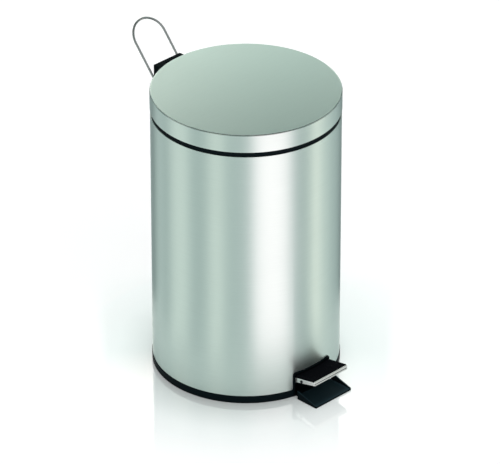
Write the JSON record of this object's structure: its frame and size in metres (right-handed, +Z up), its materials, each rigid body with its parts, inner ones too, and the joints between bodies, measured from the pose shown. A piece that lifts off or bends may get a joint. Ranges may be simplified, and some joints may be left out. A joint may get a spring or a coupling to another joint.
{
  "type": "pedal bin",
  "caption": "Round steel pedal bin: a pedal and push rod lift the hinged lid over a lift-out bucket; wire carry handle at the rear.",
  "frame": {"origin": "on the body's axis at floor level, in the plane of the base ring's underside", "axes": "+Z up; the pedal points to -Y; the lid's hinge and the carry handle are at +Y; +X is to the right when looking from the pedal to the hinge"},
  "size_m": [0.2512, 0.3605, 0.4344],
  "materials": {
    "body_steel": "satin",
    "lid_steel": "satin",
    "trim_steel": "satin",
    "zinc": "satin",
    "dark_steel": "satin",
    "wire_chrome": "polished",
    "black_plastic": "satin",
    "bucket_plastic": "satin",
    "rubber": "matte",
    "pad_rubber": "matte"
  },
  "bodies": {
    "body": {"body_shell": "body_steel", "base_ring": "black_plastic", "base_plate": "black_plastic", "base_screws": "zinc", "rubber_feet": "rubber", "rim_ring": "black_plastic", "lid_bumpers": "rubber", "pedal_housing": "black_plastic", "housing_screws": "zinc", "lever_bracket": "zinc", "bracket_rivets": "zinc", "lever_axle": "zinc", "axle_clips": "zinc", "hinge_housing": "black_plastic", "hinge_backing_plate": "zinc", "hinge_screws": "zinc", "hinge_pin": "zinc", "rod_guide": "black_plastic"},
    "lid": {"lid_shell": "lid_steel", "lid_liner": "black_plastic", "lid_arm": "zinc", "arm_screws": "zinc"},
    "pedal": {"pedal_lever": "zinc", "lever_bush": "black_plastic", "pedal_block": "black_plastic", "pedal_trim": "trim_steel", "pedal_pad": "pad_rubber", "pedal_pin": "dark_steel"},
    "rod": {"push_rod": "zinc", "rod_clips": "black_plastic"},
    "handle": {"carry_handle": "wire_chrome"},
    "bucket": {"inner_bucket": "bucket_plastic"},
    "bail": {"bucket_bail": "wire_chrome", "bail_grip": "black_plastic"}
  },
  "joints": [
    {"name": "lid_hinge", "type": "hinge", "parent": "body", "child": "lid", "pos_m": [0, 0.133, 0.384], "axis": [-1, 0, 0], "range_deg": [0, 80]},
    {"name": "rod_slide", "type": "slide", "parent": "body", "child": "rod", "axis": [0, 0, 1], "range_m": [0, 0.02228]},
    {"name": "pedal_hinge", "type": "hinge", "parent": "body", "child": "pedal", "pos_m": [0, -0.022, 0.016], "axis": [1, 0, 0], "range_deg": [0, 9.1]},
    {"name": "handle_hinge", "type": "hinge", "parent": "body", "child": "handle", "pos_m": [0, 0.141, 0.368], "axis": [-1, 0, 0], "range_deg": [-12, 140]},
    {"name": "bucket_lift", "type": "slide", "parent": "body", "child": "bucket", "axis": [0, 0, 1], "range_m": [0, 0.005]},
    {"name": "bail_hinge", "type": "hinge", "parent": "bucket", "child": "bail", "pos_m": [0, 0, 0.3778], "axis": [-1, 0, 0], "range_deg": [0, 3]}
  ],
  "couplings": [
    {"joint": "rod_slide", "follows": "lid_hinge", "m_per_rad": 0.015957},
    {"joint": "pedal_hinge", "follows": "lid_hinge", "ratio": 0.11375}
  ]
}
